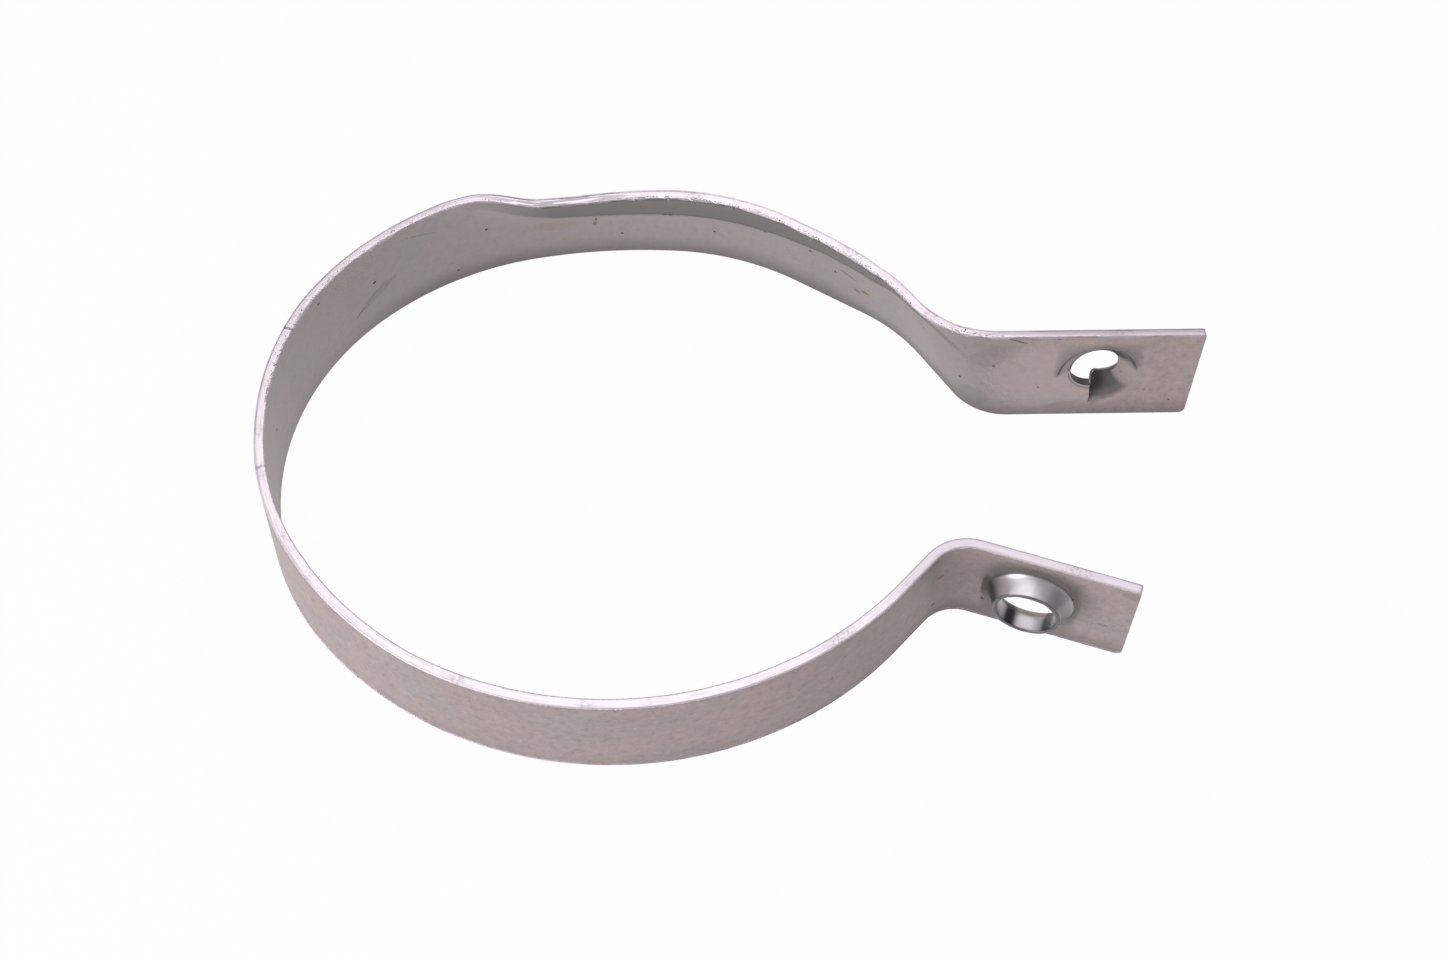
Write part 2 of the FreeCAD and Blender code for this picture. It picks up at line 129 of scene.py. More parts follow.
def fold_at(distance):
    """Fold height, fold angle and lean at a distance along the back."""
    entered = np.clip((distance - SINK_START) / SINK_RUN, 0, 1)
    left = np.clip((distance - CLIMB_START) / CLIMB_RUN, 0, 1)
    rise = (width - FOLD_HEIGHT) * min(HIGHEST_FOLD, (1 - entered) ** 3 + left ** 2)
    leaning = smooth(distance, LEAN_START, LEAN_RUN)
    bent = smooth(distance, BEND_START, BEND_RUN)
    angle = FOLD_ANGLE + FIRST_EXTRA * (1 - smooth(distance, SETTLE_START, SETTLE_RUN))
    return FOLD_HEIGHT + rise, angle * bent * (1 - leaning), FULL_LEAN * leaning


# The root bend turns a wall that leans inward into an ear that leans back, so its top edge
# follows its own curve between the top of the wall and the top of the ear.
ear_along = along(ear_heading)
back_lean = math.radians(5.7)
ear_up = np.array([0, 0, math.cos(back_lean)]) + left_of(ear_along) * math.sin(back_lean)
ear_root = ear_root + np.array([0, 0, thick * math.sin(back_lean)])
knee_end, knee_heading = inner_line(root_begins)
wall_lean = math.radians(fold_at(root_begins - plain_length)[2])
wall_up = np.array([0, 0, math.cos(wall_lean)]) - left_of(along(knee_heading)) * math.sin(wall_lean)
top_start = knee_end + wall_up * width
top_line = ear_root + ear_up * width
gap = top_line - top_start
wall_along = along(knee_heading)
crossing = wall_along[0] * ear_along[1] - wall_along[1] * ear_along[0]
top_run = (gap[0] * ear_along[1] - gap[1] * ear_along[0]) / crossing
top_corner = top_start * [1, 1, 0] + wall_along * top_run
top_finish = top_corner + ear_along * top_run
top_finish[2] = top_line[2]
root_shift = float(np.dot(top_line - top_finish, ear_along))
SHIFT_RUN = 8.0
NO_FOLD = (12.0, 0.0)


def station(distance):
    """Origin, travel, up, reach, fold height and fold angle of one cross section."""
    origin, now = inner_line(distance)
    travel = along(now)
    if distance <= plain_length:
        return origin, travel, np.array([0, 0, 1.0]), width, *NO_FOLD
    if distance <= root_begins:
        height, angle, lean = fold_at(distance - plain_length)
        tilt = math.radians(lean)
        up = np.array([0, 0, math.cos(tilt)]) - left_of(travel) * math.sin(tilt)
        return origin, travel, up, width, height, angle
    if distance <= root_ends:
        share = (distance - root_begins) / (root_ends - root_begins)
        rest = 1 - share
        origin = origin + [0, 0, thick * math.sin(back_lean) * smooth(share, 0, 1)]
        top = top_start * rest ** 2 + top_corner * 2 * share * rest + top_finish * share ** 2
        top[2] = top_start[2] * rest + top_finish[2] * share
    else:
        shift = root_shift * (1 - smooth(distance, root_ends, SHIFT_RUN))
        top = origin + ear_up * width - ear_along * shift
    reach = float(np.linalg.norm(top - origin))
    return origin, travel, (top - origin) / reach, reach, *NO_FOLD


# One cross section: (height up the sheet, way through it), up the inside, over the sheared
# top edge, down the outside and back under. The outside corners are rolled over by the
# shear, the inside corners are nearly sharp.
ACROSS = 43
GRID_START = 1.6
BESIDE_EDGE = [0.06, 0.35, 0.9]
wall_heights = np.concatenate([BESIDE_EDGE, np.linspace(GRID_START, width - GRID_START, ACROSS),
                               [width - h for h in reversed(BESIDE_EDGE)]])
ROLL = 0.2
over = [(ROLL * (1 - math.cos(a)), ROLL * (1 - math.sin(a))) for a in np.radians([90, 60, 35, 15, 0])]
top_edge = [(width, 0.08), (width, 0.35), (width, 0.75)]
top_edge += [(width - rise, thick - deep) for deep, rise in reversed(over)]
ROLLED_AWAY = 2
section = [(h, 0.0) for h in wall_heights] + top_edge
section += [(h, thick) for h in wall_heights[::-1][ROLLED_AWAY:-ROLLED_AWAY]]
section += [(width - h, e) for h, e in reversed(top_edge)]
section = np.array(section)


# Heights and shades as (distance along the strap, value): the fold's crease and the knee at
# the root bend, painted shade in and above them (the lip that faces down, the crease line and
# the lip's painted shadow at the knee), a painted shadow under the rim, painted shade on the
# shoulder and round the near ear's root, and how far the top of the left side is tucked in.
CREASE = [(224, 18.0), (231, 15.2), (236, 12.4), (241, 10.6), (247, 10.2), (267, 10.2), (277, 10.4),
          (284, 11.3), (290, 12.8), (298, 15.2), (306, 17.0), (313, 18.2), (318, 19.2)]
KNEE = [(312, 19.2), (318.4, 16.9), (322.2, 14.3), (324, 12.4)]
LIP_DARK = [(224, 0), (240, 0.6), (290, 0.48), (314, 0.4), (319, 0)]
CREASE_DARK = [(236, 0), (250, 0.42), (300, 0.5), (312, 0.3)]
KNEE_DARK = [(311, 0), (313, 0.5), (321, 0.35), (324, 0)]
RIM_DARK = [(226, 0), (236, 0.25), (300, 0.25), (316, 0)]
SHOULDER_DARK = [(215, 0), (235, 0.0), (262, 0.03), (290, 0.15), (326, 0.14), (334, 0)]
ROOT_DARK = [(0, 0.03), (12, 0.1), (24, 0.24), (44, 0.2), (66, 0)]
TUCKED = [(118, 0), (142, 0.75), (170, 0.7), (192, 0)]
LOW_CORNER, TOP_CORNER, EDGE_CORNER = 1.15, 0.4, 0.12
STRETCH_RUN = 6
NEAR_STRETCH, NEAR_SLANT, FAR_SLANT = 0.62, 0.25, 0.2
FOLD_SOFTNESS = 1.6
FINE_STEPS = 240


def corner_cut(radius, near):
    """How far a rounded corner has pulled the edge in, near millimetres from the end."""
    return radius - math.sqrt(max(0.0, radius ** 2 - max(0.0, radius - near) ** 2))


def strap_ring(distance):
    """World points and painted shade of one cross section, rounded off towards the strap's two ends."""
    near = min(distance, total - distance)
    low, top = corner_cut(LOW_CORNER, near), corner_cut(TOP_CORNER, near)
    pinch = corner_cut(EDGE_CORNER, near)
    origin, travel, up, reach, height, angle = station(distance)
    normal = np.cross(up, travel)
    normal /= np.linalg.norm(normal)
    a = low + pinch + section[:, 0] * (width - low - top - 2 * pinch) / width
    e = thick / 2 + (section[:, 1] - thick / 2) * (thick / 2 - pinch) / (thick / 2)
    near_end = max(0.0, 1 - distance / STRETCH_RUN)
    far_end = max(0.0, 1 - (total - distance) / STRETCH_RUN)
    stretch = far_end * FAR_SLANT * a / width - near_end * (NEAR_STRETCH - NEAR_SLANT * a / width)
    a = a * reach / width
    soft = min(FOLD_SOFTNESS, HIGHEST_FOLD * (reach - height))
    fine = np.linspace(0, reach, FINE_STEPS)
    turning = math.radians(angle) * np.clip((fine - height + soft) / (2 * soft), 0, 1)
    step = reach / (FINE_STEPS - 1)
    side = -np.concatenate([[0], np.cumsum(np.sin((turning[1:] + turning[:-1]) / 2) * step)])
    rise = np.concatenate([[0], np.cumsum(np.cos((turning[1:] + turning[:-1]) / 2) * step)])
    here_turn = np.interp(a, fine, turning)
    tucked = line(distance, *TUCKED) * a / width
    across = np.interp(a, fine, side) + np.cos(here_turn) * e - tucked
    upward = np.interp(a, fine, rise) + np.sin(here_turn) * e
    points = origin + across[:, None] * normal + upward[:, None] * up + stretch[:, None] * travel

    inside = section[:, 1] < thick / 2
    up_wall = section[:, 0]
    crease_at = line(distance, *CREASE)
    knee_at = line(distance, *KNEE)
    # Painted shade on the inside: the lip above the crease, which faces down, the crease line, painted
    # shadows under the rim and of the lip at the knee, and a darker shoulder.
    folded = smooth(up_wall, crease_at - 0.25, 0.6) * line(distance, *LIP_DARK)
    folded += np.exp(-((up_wall - crease_at) / 0.28) ** 2) * line(distance, *CREASE_DARK)
    folded += smooth(up_wall, 18.0, 0.7) * line(distance, *RIM_DARK)
    folded += np.exp(-((up_wall - knee_at) / 0.5) ** 2) * line(distance, *KNEE_DARK)
    folded += line(distance, *SHOULDER_DARK)
    # Painted shade along the lower edge, stronger inside the back and outside round the near ear, plus
    # painted shade round the near ear's root outside.
    back = smooth(distance, 195, 25)
    near_ear = 1 - smooth(distance, 24, 16)
    low_edge_shade = 0.1 + 0.36 * back * inside + 0.3 * near_ear * (1 - inside)
    low_edge_shade *= 1 - smooth(up_wall, -0.6, 5.4)
    return points, folded * inside + low_edge_shade + line(distance, *ROOT_DARK) * (1 - inside)


# The strap's skin, ring by ring. Every point keeps its place on the flat strap, for the
# finish to lie on, and three marks: how far it is sheared, how far drawn, and how much painted
# shade it has.
BESIDE_END = [0.0, 0.03, 0.1, 0.2, 0.35, 0.55, 0.8, 1.0]
LENGTHWISE = 563
LENGTHWISE_START = 1.2
distances = BESIDE_END + list(np.linspace(LENGTHWISE_START, total - LENGTHWISE_START, LENGTHWISE))
distances += [total - d for d in reversed(BESIDE_END)]
inner_count = len(wall_heights)
edge_count = len(top_edge)
on_edge = [inner_count <= k < inner_count + edge_count or k >= len(section) - edge_count
           for k in range(len(section))]
rings = []
verts = []
lay = []
marks = []
for distance in distances:
    points, shade = strap_ring(distance)
    rings.append(points)
    verts += [tuple(point) for point in points]
    lay += [(distance, a, e) for a, e in section]
    marks += [(1.0, 0.0, 0.0) if cut else (0.0, 0.0, float(dark)) for cut, dark in zip(on_edge, shade)]
rings = np.array(rings)
count, around = rings.shape[:2]
faces = []


def add_point(point, where, mark):
    """New vertex with its place on the strap and its marks."""
    verts.append(tuple(point))
    lay.append(where)
    marks.append(mark)
    return len(verts) - 1


COLLAR_AT = 15.1
THREAD_FROM_END = 16.2
WINDOW = 7.9


def window(centre_distance):
    """Stations of the square that a hole's own mesh takes the place of."""
    return [i for i, d in enumerate(distances) if abs(d - centre_distance) <= WINDOW]


rows = list(range(len(BESIDE_EDGE), len(BESIDE_EDGE) + ACROSS))
outer_rows = [inner_count + edge_count + (inner_count - 1 - ROLLED_AWAY - row) for row in rows]
windows = [window(COLLAR_AT), window(total - THREAD_FROM_END)]
skipped = {(i, k) for stations in windows for i in stations[:-1] for k in rows[:-1] + outer_rows[1:]}
for i in range(count - 1):
    for k in range(around):
        if (i, k) in skipped:
            continue
        after = (k + 1) % around
        faces.append((i * around + k, (i + 1) * around + k, (i + 1) * around + after, i * around + after))
faces.append(tuple(range(around)))
faces.append(tuple(range((count - 1) * around, count * around))[::-1])


def perimeter(stations, columns):
    """Vertices round a window, once, from the lower near corner."""
    first, last = stations[0], stations[-1]
    walk = [(i, columns[0]) for i in stations[:-1]]
    walk += [(last, k) for k in columns[:-1]]
    walk += [(i, columns[-1]) for i in stations[:0:-1]]
    walk += [(first, k) for k in columns[:0:-1]]
    return [i * around + k for i, k in walk]


def bridge(before, after, closed=True):
    """Quads between two loops of the same length."""
    length = len(before)
    for number in range(length if closed else length - 1):
        then = (number + 1) % length
        faces.append((before[number], before[then], after[then], after[number]))


# The collar, drawn out of the near ear towards the viewer and sheared off square. Its wall
# flares into the ear outside and has a wide lead-in behind, and it is burnished by the punch.
# Its profile is (radius, height), and its painted shade and painted dark reflections are
# (degrees up from the ring's side, dark).
lower_along = along(START_HEADING)
lower_out = left_of(lower_along)
collar_centre = np.array([*STRAP_START, width / 2]) + lower_out * thick + lower_along * COLLAR_AT
BORE, LEAD_IN = 4.6, 3.0
profile = [(7.65 - 2.3 * s ** 0.75, 3.0 * s ** 1.8) for s in np.linspace(0.0, 0.97, 16)]
rim_at = len(profile) + 1
rim_ends = rim_at + 5
profile += [(5.34, 3.05), (5.27, 3.2), (5.12, 3.29), (4.9, 3.3), (4.72, 3.28), (4.62, 3.18)]
profile += [(BORE, 3.0), (BORE, 2.5), (BORE, 1.9)]
profile += [(BORE + LEAD_IN + LEAD_IN * math.cos(a), 1.4 + LEAD_IN * math.sin(a))
            for a in np.radians(np.linspace(180, 264, 12))]
FLARE_DARK = [(-150, 0.4), (-120, 0.35), (-30, 0.6), (-8, 0.9), (14, 0.9), (30, 0.25), (40, 0.0),
              (90, 0.0), (94, 0.16), (112, 0.1), (124, 0.36), (142, 0.62), (158, 0.42), (180, 0.34)]
FOOT_DARK = [(0, 0.6), (30, 0.72), (90, 0.62), (150, 0.5), (175, 0.2)]
FOOT_HEIGHTS = [(0, 0.6), (0.3, 1.0), (0.42, 0.7), (0.5, 0)]
RIM_SHADE = 0.8
BORE_DARK = [(-156, 0.45), (-148, 0.85), (-131, 0.85), (-123, 0.1), (-80, 0.0), (-73, 0.4),
             (-67, 0.97), (-52, 0.97), (-44, 0.5), (-20, 0.3)]
DRAWN_HEIGHTS = [(-0.4, 0.3), (0.0, 0.0), (0.28, 0.1), (0.44, 1.0)]
UNEVEN = 0.05
TEARS = 41
rng = np.random.default_rng(7)
front_loop = perimeter(windows[0], outer_rows)
back_loop = perimeter(windows[0], rows)
angles = []
for index in front_loop:
    offset = np.array(verts[index]) - collar_centre
    angles.append(math.atan2(offset[2], float(np.dot(offset, lower_along))))
tear = np.interp(np.linspace(0, 1, len(angles)), np.linspace(0, 1, TEARS), rng.normal(0, 1, TEARS))
previous = front_loop
for number_in, (radius, height) in enumerate(profile):
    loop = []
    for number, angle in enumerate(angles):
        turn = math.degrees(angle)
        rim = line(height, (2.0, 0.0), (3.3, 1.0))
        lift = height + rim * UNEVEN * tear[number]
        out = radius + rim * UNEVEN * math.sin(2 * angle + 0.6)
        # Painted shade and painted dark reflections on the flare and its foot, a painted grey rim, and
        # painted dark bands in the bore.
        if number_in < rim_at:
            foot = line(height, *FOOT_HEIGHTS) * line(turn, *FOOT_DARK)
            dark = max(line(turn, *FLARE_DARK), foot)
        elif number_in < rim_ends:
            dark = RIM_SHADE
        else:
            dark = line(turn, *BORE_DARK)
        over_ear = out * math.cos(angle)
        up_ear = out * math.sin(angle)
        point = collar_centre + lower_along * over_ear + np.array([0, 0, up_ear]) + lower_out * lift
        where = (COLLAR_AT + over_ear, width / 2 + up_ear, thick + lift)
        loop.append(add_point(point, where, (0.0, line(height, *DRAWN_HEIGHTS), dark)))
    bridge(previous, loop)
    previous = loop
bridge(previous, back_loop)

# The thread impression of the far ear. Three quarters of a ring round the pierced hole sink
# away from the viewer, clockwise, and end torn at a slit beside the quarter that stays flush.
# Its angles run from one side of the slit, below the hole, round to the other.
disc = ear_root + ear_along * (EAR - THREAD_FROM_END) + ear_up * width / 2
hole = disc - ear_along * 0.85 + ear_up * 1.3
toward = np.cross(ear_along, ear_up)
DISC, HOLE, DEPTH = 6.6, 3.7, 3.6
FIRST_ANGLE, WHOLE_TURN = -89.6, 359.2
front_loop = perimeter(windows[1], rows)
back_loop = perimeter(windows[1], outer_rows)
angles = []
for index in front_loop:
    offset = np.array(verts[index]) - disc
    rise = float(np.dot(offset, ear_up))
    angles.append(math.degrees(math.atan2(rise, float(np.dot(offset, ear_along)))))
angles = [a + 360 if a < -90 else a for a in angles]
order = np.argsort(angles)
front_loop = [front_loop[k] for k in order]
back_loop = [back_loop[k] for k in order]
angles = [angles[k] for k in order]
angles = [FIRST_ANGLE + WHOLE_TURN * (a - angles[0]) / (angles[-1] - angles[0]) for a in angles]
shares = [0.0, 0.02, 0.05, 0.09, 0.15, 0.25, 0.37, 0.5, 0.64, 0.78, 0.88, 0.95, 1.0]
torn = rng.normal(0, 1, (2, len(shares)))


def flank_shade(angle, share):
    """How much painted shade the impression has: deep in its turn, along its creases and beside the slit."""
    limit = line(share, (0.05, -24), (0.3, -31), (0.5, -37), (0.9, -46), (1, -20))
    by_slit = line(angle - limit, (-26, 1.0), (-4, 0.98), (5, 0.4), (18, 0.15), (40, 0.0))
    by_slit *= line(share, (0.04, 0.0), (0.12, 0.3), (0.2, 0.58), (0.3, 0.86), (0.4, 0.78),
                    (0.5, 0.96), (1, 1.0))
    edge_on = line(angle, (6, 0.0), (18, 0.85), (80, 0.95), (95, 0.7), (100, 0))
    edge_on *= line(share, (0, 0.6), (0.02, 1), (0.15, 0.9), (0.25, 0.45), (0.37, 0.1))
    upper = line(angle, (10, 0.0), (26, 0.9), (80, 0.9), (95, 0))
    upper *= line(share, (0.05, 0.4), (0.4, 0.85), (0.7, 1), (1, 1))
    left = line(angle, (80, 0), (92, 0.9), (176, 0.95), (184, 0))
    left *= line(share, (0, 0.5), (0.02, 1.0), (0.09, 1.0), (0.15, 0.75), (0.35, 0.25),
                 (0.75, 0.3), (0.95, 0.9))
    flush = line(angle, (182, 0), (190, 0.6), (270, 0.55))
    flush *= line(share, (0.78, 0), (0.88, 1), (0.95, 0.2), (1, 0))
    return max(by_slit, edge_on, upper, left, flush)


def disc_way(angle):
    """Unit vector in the far ear's face at an angle up from its long side."""
    return ear_along * math.cos(math.radians(angle)) + ear_up * math.sin(math.radians(angle))


def flank_loop(share, level):
    """One loop of the impression, at a share of the way in and a depth in the sheet."""
    loop = []
    for number, angle in enumerate(angles):
        parted = line(angle, (-90, 1), (-50, 0)) + line(angle, (230, 0), (270, 1))
        way = disc_way(angle - 4.5 * (1 - share) * parted)
        level_way = disc_way(angle)
        drag = line(angle, (-90, 1.5), (-45, 1.15), (0, 0.82), (45, 0.45), (90, 0.1), (180, 0.0))
        drop = line(angle, (20, 0), (90, 0.22), (150, 0))
        torn_end = line(angle, (-90, 1), (-70, 0))
        drag *= (0.55 + 0.45 * share) * (1 - torn_end) + (0.35 + 0.65 * share ** 5) * torn_end
        inner = hole + level_way * HOLE + ear_along * drag - ear_up * drop
        sunk = DEPTH * min(1.0, max(0.0, (180 - angle) / 270))
        slope = min(1.0, sunk / 2.4) * share
        eased = line(angle, (-90, 0.4), (-60, 0.9), (-15, 0.9), (25, 0.0))
        fall = share * (1.5 - 0.5 * share) * (1 - eased) + share ** 2 * (1.9 - 0.9 * share) * eased
        point = (disc + way * DISC) * (1 - share) + inner * share
        point = point - toward * (sunk * fall + level * (1 - 0.25 * slope))
        point = point + level_way * level * 0.62 * slope
        if number in (0, len(angles) - 1):
            side = 0 if number == 0 else 1
            point = point + ear_along * UNEVEN * torn[side][shares.index(share)] * min(1.0, share * 5)
        offset = point - ear_root
        where = (root_ends + float(np.dot(offset, ear_along)), float(np.dot(offset, ear_up)), level)
        ragged = line(angle, (-90, 0.36), (-84, 0.4), (-79, 0.0), (267, 0.0), (270, 0.3))
        ragged *= min(1.0, share * 9)
        if angle > 184 and level < 0.03:
            ragged = max(ragged, line(share, (0.88, 0), (0.95, 0.55), (1, 1.0)))
        # Painted shade on the flank, darker on the hole's wall and on the torn edge at the slit.
        dark = flank_shade(angle, share)
        if level > 0.03:
            dark = line(angle, (-90, 0.85), (-60, 0.6), (100, 0.6), (185, 0.86), (270, 0.85))
        elif angle < -88:
            dark = max(dark, 0.85 * min(1.0, share * 4))
        loop.append(add_point(point, where, (ragged, 0.0, dark)))
    return loop


front_flank = [flank_loop(share, 0.0) for share in shares]
rim_flank = [flank_loop(1.0, level) for level in (0.06, 0.35, 0.8, 1.2, 1.54)]
back_flank = [flank_loop(share, thick) for share in reversed(shares)]
bridge(front_loop, front_flank[0])
chain = front_flank + rim_flank + back_flank
for before, after in zip(chain, chain[1:]):
    bridge(before, after, closed=False)
bridge(back_flank[-1], back_loop)
faces.append((front_flank[0][-1], back_flank[-1][-1], back_flank[-1][0], front_flank[0][0])[::-1])
for side in (0, -1):
    for number in range(len(shares) - 1):
        quad = (front_flank[number][side], front_flank[number + 1][side],
                back_flank[-2 - number][side], back_flank[-1 - number][side])
        faces.append(quad if side == 0 else quad[::-1])
    torn_edge = [loop[side] for loop in [front_flank[-1]] + rim_flank + [back_flank[0]]]
    faces.append(tuple(torn_edge) if side == 0 else tuple(torn_edge[::-1]))

mesh = bpy.data.meshes.new("strap")
mesh.from_pydata([(x / 1000, y / 1000, z / 1000) for x, y, z in verts], [], faces)
for name, values in [("lay", lay), ("marks", marks)]:
    kept = mesh.attributes.new(name, "FLOAT_VECTOR", "POINT")
    kept.data.foreach_set("vector", np.array(values, dtype=np.float32).ravel())
mesh.validate()
for polygon in mesh.polygons:
    polygon.use_smooth = True
mesh.set_sharp_from_angle(angle=math.radians(42))
strap = bpy.data.objects.new("strap", mesh)
bpy.context.scene.collection.objects.link(strap)


def add_node(tree, kind, settings, sockets):
    """Node of a kind; sockets are named, with _ for a space, or numbered as i0, i1."""
    node = tree.nodes.new(kind)
    for name, value in (settings or {}).items():
        setattr(node, name, value)
    for name, value in sockets.items():
        words = name.replace("_", " ")
        socket = node.inputs[words] if words in node.inputs else node.inputs[int(name[1:])]
        if isinstance(value, bpy.types.NodeSocket):
            tree.links.new(value, socket)
        else:
            socket.default_value = value
    return node


class Socket:
    """A shader value that ordinary arithmetic adds Math nodes to."""

    def __init__(self, tree, output):
        self.tree = tree
        self.output = output

    def other(self, number):
        """Another output of the same node."""
        return Socket(self.tree, self.output.node.outputs[number])

    def math(self, operation, *values, swapped=False):
        """An operation on this value and others, or with this value last."""
        node = self.tree.nodes.new("ShaderNodeMath")
        node.operation = operation
        terms = list(values) + [self] if swapped else [self] + list(values)
        for index, value in enumerate(terms):
            if isinstance(value, Socket):
                self.tree.links.new(value.output, node.inputs[index])
            else:
                node.inputs[index].default_value = value
        return Socket(self.tree, node.outputs[0])

    def __add__(self, other):
        return self.math("ADD", other)

    __radd__ = __add__

    def __mul__(self, other):
        return self.math("MULTIPLY", other)

    __rmul__ = __mul__

    def __sub__(self, other):
        return self.math("SUBTRACT", other)

    def __rsub__(self, other):
        return self.math("SUBTRACT", other, swapped=True)

    def __or__(self, other):
        return self.math("MAXIMUM", other)

    def step(self, low, high):
        """Smooth step from 0 at low to 1 at high, or down from 1 where high is the lower."""
        share = ((self - low) * (1.0 / (high - low))).math("MAXIMUM", 0.0).math("MINIMUM", 1.0)
        return share * share * (3.0 - 2.0 * share)


class Finish:
    """A material under construction, with one method that adds any node."""

    def __init__(self, name):
        self.material = bpy.data.materials.new(name)
        self.material.use_nodes = True
        self.tree = self.material.node_tree
        self.tree.nodes.clear()

    def node(self, kind, settings=None, out=0, **sockets):
        """One output of a new node."""
        plugged = {name: value.output if isinstance(value, Socket) else value
                   for name, value in sockets.items()}
        node = add_node(self.tree, kind, settings, plugged)
        return Socket(self.tree, node.outputs[out]) if node.outputs else None

    def mix(self, colour, share, towards):
        """Colour mixed with another by a share."""
        return self.node("ShaderNodeMix", {"data_type": "RGBA"}, out=2, i0=share, i6=colour, i7=towards)

    def tint(self, colour, share, towards):
        """Colour mixed with a plain colour by a share."""
        return self.mix(colour, share, (*towards, 1.0))


# Zinc on bright steel: matt, warm grey and cloudy on the rolled faces, pale and streaked on
# the sheared edges, burnished on the collar. Shade is painted into the creases, the hollows,
# the collar and the impression, and along the lower edge.
steel = Finish("zinc_plated_steel")
on_strap = steel.node("ShaderNodeAttribute", {"attribute_name": "lay"}, out=1)
distance_at = steel.node("ShaderNodeSeparateXYZ", Vector=on_strap)
height_at = distance_at.other(1)
depth_at = distance_at.other(2)
# The third mark is painted shade.
marked = steel.node("ShaderNodeAttribute", {"attribute_name": "marks"}, out=1)
sheared_at = steel.node("ShaderNodeSeparateXYZ", Vector=marked)
drawn_at = sheared_at.other(1)
painted_shade_at = sheared_at.other(2).math("MINIMUM", 1.0)


def cloud(scale, detail=2.0, stretch=None, roughness=0.5):
    """Noise that lies on the strap, in cycles per millimetre."""
    vector = on_strap
    if stretch:
        vector = steel.node("ShaderNodeVectorMath", {"operation": "MULTIPLY"}, i0=on_strap, i1=stretch)
    return steel.node("ShaderNodeTexNoise", Vector=vector, Scale=scale, Detail=detail, Roughness=roughness)


patches = cloud(0.11, 4.0, roughness=0.62)
drift = cloud(0.05, 2.0)
mottle = cloud(0.75, 4.0, roughness=0.7)
grain = cloud(4.2, 2.0)
rolled = cloud(1.0, 3.0, stretch=(0.05, 1.3, 1.0))
jagged = cloud(1.9, 3.0, roughness=0.65)
runs = cloud(0.16, 2.0)
streaks = cloud(1.0, 3.0, stretch=(0.22, 2.5, 5.0))

colour = steel.tint((0.452, 0.366, 0.358, 1), patches.step(0.42, 0.64) * 0.7, (0.375, 0.342, 0.352))
colour = steel.tint(colour, drift.step(0.42, 0.62) * 0.45, (0.43, 0.335, 0.31))
colour = steel.tint(colour, mottle.step(0.48, 0.72) * 0.45, (0.56, 0.485, 0.48))
colour = steel.tint(colour, mottle.step(0.48, 0.27) * 0.55, (0.25, 0.205, 0.2))
colour = steel.tint(colour, rolled.step(0.55, 0.8) * 0.2, (0.27, 0.24, 0.24))

# The inside of the ring is cooler and greyer than the outside, up to the far ear.
inside = depth_at.step(1.0, 0.6)
outside = depth_at.step(0.6, 1.0)
in_ring = inside * distance_at.step(345.0, 310.0)
colour = steel.tint(colour, in_ring * (0.28 + patches * 0.5), (0.43, 0.395, 0.408))
colour = steel.tint(colour, grain.step(0.52, 0.78) * 0.3, (0.6, 0.52, 0.51))
colour = steel.tint(colour, grain.step(0.46, 0.2) * 0.35, (0.22, 0.185, 0.18))


def blot(distance, height, long, tall, turn=0.0, ragged=0.8):
    """Mark at a place on the strap, with an outline broken up by the mottling."""
    c, s = math.cos(math.radians(turn)), math.sin(math.radians(turn))
    east = distance_at - distance
    north = height_at - height
    x = east * (c / long) + north * (s / long)
    y = north * (c / tall) - east * (s / tall)
    return (x * x + y * y + (jagged - 0.5) * ragged * 2.0).step(1.15, 0.55)


def blots(table):
    """Several marks as one, each listed as its strength and then its blot."""
    together, *others = [blot(*place) * strength for strength, *place in table]
    for other in others:
        together = together | other
    return together


# Single marks on both faces: pits and dots, scratches and smears, a pale and a brown stain,
# painted shade round the collar's root and specks of rust. Pits are (distance, height, size).
PITS = [(259.7, 10.1, 0.26), (260.7, 10.1, 0.3), (252.1, 4.8, 0.22), (277.6, 10.1, 0.2),
        (228.6, 10.6, 0.26), (286.5, 10.0, 0.3), (291.6, 7.9, 0.22), (194.8, 16.9, 0.24),
        (206.9, 10.6, 0.28), (322.2, 6.9, 0.24), (173.8, 9.5, 0.26), (328.5, 12.2, 0.22),
        (268.4, 6.4, 0.2)]
pits = [(1.0, distance, height, size * 1.3, size * 1.15) for distance, height, size in PITS]
dots = blots([(1.0, 247.7, 9.0, 0.25, 0.3)] + pits) * inside
specks = steel.node("ShaderNodeTexVoronoi", Vector=on_strap, Scale=0.4)
dots = dots | specks.step(0.1, 0.06) * runs.step(0.6, 0.64)
dots = dots | outside * blots([(1.0, 31.8, 3.9, 0.5, 0.35), (1.0, 22.2, 5.3, 0.3, 0.25),
                               (1.0, 9.0, 12.5, 0.25, 0.2)])
smears = inside * blots([
    (0.2, 207.0, 7.6, 5.0, 0.8, 20, 1.3), (0.6, 203.0, 6.0, 1.5, 0.16, 24, 1.3),
    (0.4, 208.0, 8.6, 1.7, 0.13, 34, 1.5), (0.5, 206.0, 7.9, 1.3, 0.1, 30, 1.5),
    (0.4, 216.6, 15.5, 3.4, 0.12, -20, 1.2), (0.45, 294.6, 9.8, 2.0, 0.4, 4, 2.2),
    (0.7, 336.8, 18.5, 0.6, 0.2, 0, 1.4), (0.75, 332.3, 18.1, 1.3, 0.16, -28, 1.0),
    (0.14, 328.0, 14.2, 4.5, 2.2, 30), (0.16, 340.7, 2.4, 5.0, 1.2, 8),
    (0.16, 324.5, 3.6, 3.0, 2.4), (0.4, 344.2, 16.6, 1.2, 0.12, 10, 0.3),
    (0.35, 352.5, 6.0, 0.35, 0.25)])
